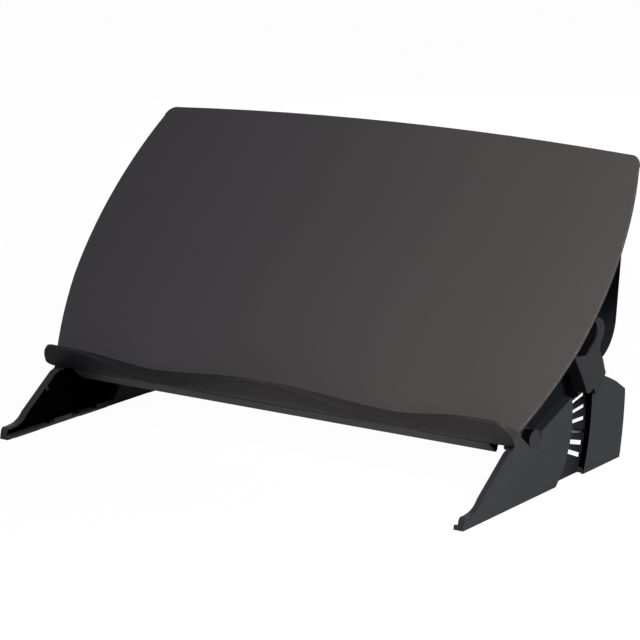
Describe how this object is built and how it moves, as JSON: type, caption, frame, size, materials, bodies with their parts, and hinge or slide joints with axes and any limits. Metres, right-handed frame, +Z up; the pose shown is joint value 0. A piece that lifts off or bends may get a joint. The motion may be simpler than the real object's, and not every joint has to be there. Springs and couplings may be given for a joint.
{
  "type": "document holder with drawer",
  "caption": "Wide desktop document holder: dark writing board on a tilting frame between two toothed legs, with a wavy document ledge and a shallow pencil drawer under it.",
  "frame": {"origin": "middle of the bounding box at desk height, under the feet", "axes": "+X across the board to the user's right, +Y from the user to the back, +Z up from the desk"},
  "size_m": [0.5458, 0.2855, 0.2754],
  "materials": {
    "leg_plastic": "fine texture, dark grey",
    "frame_plastic": "fine texture, near black",
    "ledge_plastic": "satin, dark grey",
    "board_sheet": "satin dark grey powder coat",
    "steel_tube": "satin",
    "coated_steel": "black powder coat",
    "screw_steel": "zinc plated",
    "nylon": "natural nylon",
    "foot_rubber": "matt"
  },
  "bodies": {
    "base": {"left_leg": "leg_plastic", "right_leg": "leg_plastic", "left_foot_pads": "foot_rubber", "right_foot_pads": "foot_rubber", "left_tube_cap": "frame_plastic", "right_tube_cap": "frame_plastic", "cross_tube": "steel_tube", "tube_screws": "screw_steel", "tie_rod": "steel_tube"},
    "tilt_frame": {"board_screws": "screw_steel", "document_ledge": "ledge_plastic", "frame_screws": "screw_steel", "front_member": "coated_steel", "ledge_screws": "screw_steel", "left_arm": "frame_plastic", "left_drawer_runner": "frame_plastic", "left_hub_bush": "nylon", "left_lever_pin": "screw_steel", "left_lever_spring": "screw_steel", "rear_member": "coated_steel", "right_arm": "frame_plastic", "right_drawer_runner": "frame_plastic", "right_hub_bush": "nylon", "right_lever_pin": "screw_steel", "right_lever_spring": "screw_steel", "writing_board": "board_sheet"},
    "drawer": {"drawer_tray": "frame_plastic", "drawer_front": "ledge_plastic"},
    "left_latch": {"left_lever": "leg_plastic", "left_tooth": "screw_steel"},
    "right_latch": {"right_lever": "leg_plastic", "right_tooth": "screw_steel"}
  },
  "joints": [
    {"name": "tilt", "type": "hinge", "parent": "base", "child": "tilt_frame", "pos_m": [0, -0.02875, 0.0505], "axis": [1, 0, 0], "range_deg": [-38.4, 0]},
    {"name": "drawer_slide", "type": "slide", "parent": "tilt_frame", "child": "drawer", "axis": [0, -0.6769, -0.7361], "range_m": [0, 0.05]},
    {"name": "left_release", "type": "hinge", "parent": "tilt_frame", "child": "left_latch", "pos_m": [-0.2436, 0.02445, 0.13761], "axis": [0, 0.6769, 0.7361], "range_deg": [-2.2, 2.5], "stiffness_Nm_per_rad": 1.2, "springref_deg": -2.2},
    {"name": "right_release", "type": "hinge", "parent": "tilt_frame", "child": "right_latch", "pos_m": [0.2436, 0.02445, 0.13761], "axis": [0, -0.6769, -0.7361], "range_deg": [-2.2, 2.5], "stiffness_Nm_per_rad": 1.2, "springref_deg": -2.2}
  ]
}
